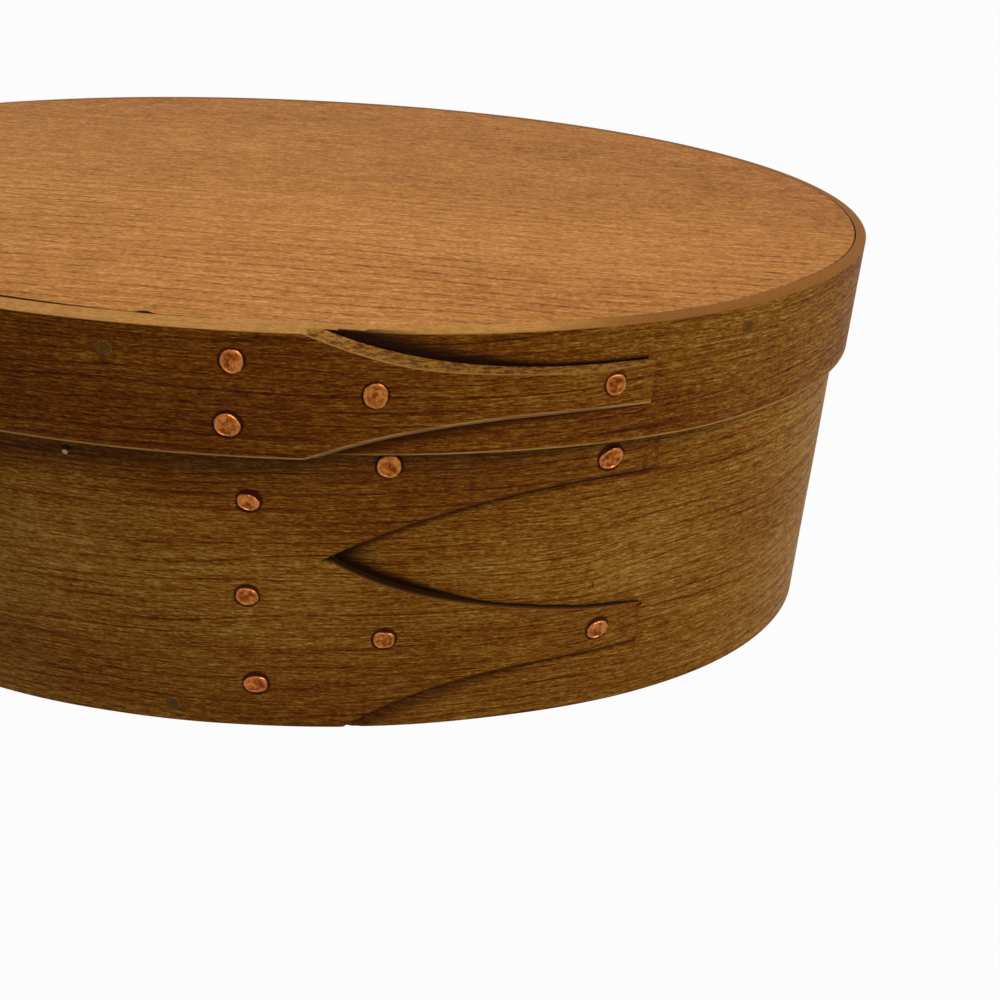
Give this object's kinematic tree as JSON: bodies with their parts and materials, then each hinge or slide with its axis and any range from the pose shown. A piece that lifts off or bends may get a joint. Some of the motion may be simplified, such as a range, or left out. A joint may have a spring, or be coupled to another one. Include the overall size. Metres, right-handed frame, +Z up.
{
  "type": "oval wooden box with lid",
  "caption": "Oval bentwood box with a lift-off lid, lapped bands with swallowtail fingers, copper tacks and pegged boards.",
  "frame": {"origin": "middle of the oval at the underside, where the box rests", "axes": "+X along the box, towards the finger tips; -Y is the front with the fingers; +Z up through the lid"},
  "size_m": [0.1836, 0.1206, 0.0658],
  "materials": {
    "band_wood": "thin quarter-sawn cherry, oiled, satin",
    "board_wood": "flat-sawn cherry, oiled, satin",
    "copper": "hammered copper",
    "peg_wood": "small dark hardwood pegs, cut flush"
  },
  "bodies": {
    "box": {"box_band": "band_wood", "bottom_board": "board_wood", "root_tack_1": "copper", "root_tack_2": "copper", "root_tack_3": "copper", "root_tack_4": "copper", "waist_tack_lower": "copper", "waist_tack_upper": "copper", "tip_tack_lower": "copper", "tip_tack_upper": "copper", "bottom_peg_1": "peg_wood", "bottom_peg_2": "peg_wood", "bottom_peg_3": "peg_wood", "bottom_peg_4": "peg_wood", "bottom_peg_5": "peg_wood", "bottom_peg_6": "peg_wood"},
    "lid": {"lid_band": "band_wood", "lid_board": "board_wood", "lid_root_tack_lower": "copper", "lid_root_tack_upper": "copper", "lid_waist_tack": "copper", "lid_tip_tack": "copper", "lid_peg_1": "peg_wood", "lid_peg_2": "peg_wood", "lid_peg_3": "peg_wood", "lid_peg_4": "peg_wood", "lid_peg_5": "peg_wood", "lid_peg_6": "peg_wood"}
  },
  "joints": [
    {"name": "lid_lift", "type": "slide", "parent": "box", "child": "lid", "axis": [0, 0, 1], "range_m": [0, 0.06]}
  ]
}
